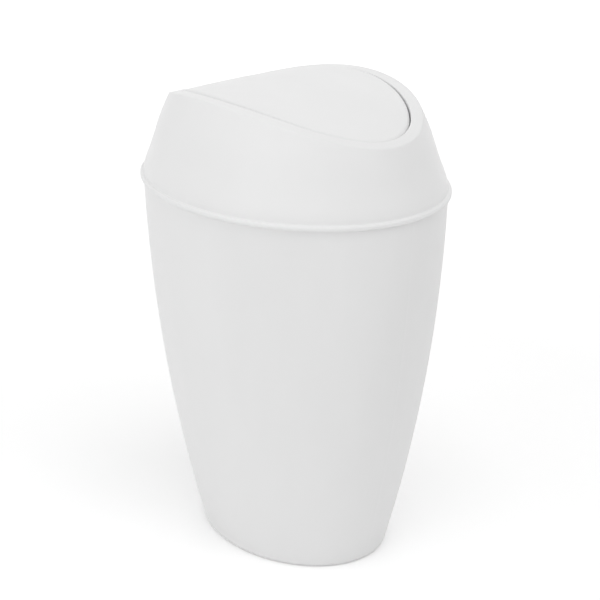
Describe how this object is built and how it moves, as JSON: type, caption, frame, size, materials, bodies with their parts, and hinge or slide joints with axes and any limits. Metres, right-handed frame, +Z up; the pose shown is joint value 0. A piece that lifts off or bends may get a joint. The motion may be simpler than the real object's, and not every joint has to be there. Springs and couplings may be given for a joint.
{
  "type": "countertop swing-lid trash can",
  "caption": "Oval tapered countertop trash can with a lift-off hood and an arched, counterweighted swing door.",
  "frame": {"origin": "centre of the base, on the surface that the can stands on", "axes": "+Z up; +X along the long axis of the oval, the way the door's ends swing; +Y along the short axis and the pivot, -Y being the front"},
  "size_m": [0.1502, 0.1222, 0.2112],
  "materials": {
    "can_plastic": "satin",
    "hood_plastic": "satin",
    "door_plastic": "satin",
    "liner_plastic": "satin",
    "bush_plastic": "satin",
    "pin_steel": "satin",
    "weight_steel": "satin"
  },
  "bodies": {
    "can": {"can_body": "can_plastic"},
    "lid": {"lid_hood": "hood_plastic", "pivot_bush_front": "bush_plastic", "pivot_bush_rear": "bush_plastic"},
    "door": {"swing_door": "door_plastic", "door_liner": "liner_plastic", "counterweight_bar": "weight_steel", "pivot_pin_front": "pin_steel", "pivot_pin_rear": "pin_steel"}
  },
  "joints": [
    {"name": "lid_lift", "type": "slide", "parent": "can", "child": "lid", "axis": [0, 0, 1], "range_m": [0, 0.05]},
    {"name": "door_swing", "type": "hinge", "parent": "lid", "child": "door", "pos_m": [0, 0, 0.1993], "axis": [0, 1, 0], "range_deg": [-80, 80]}
  ]
}
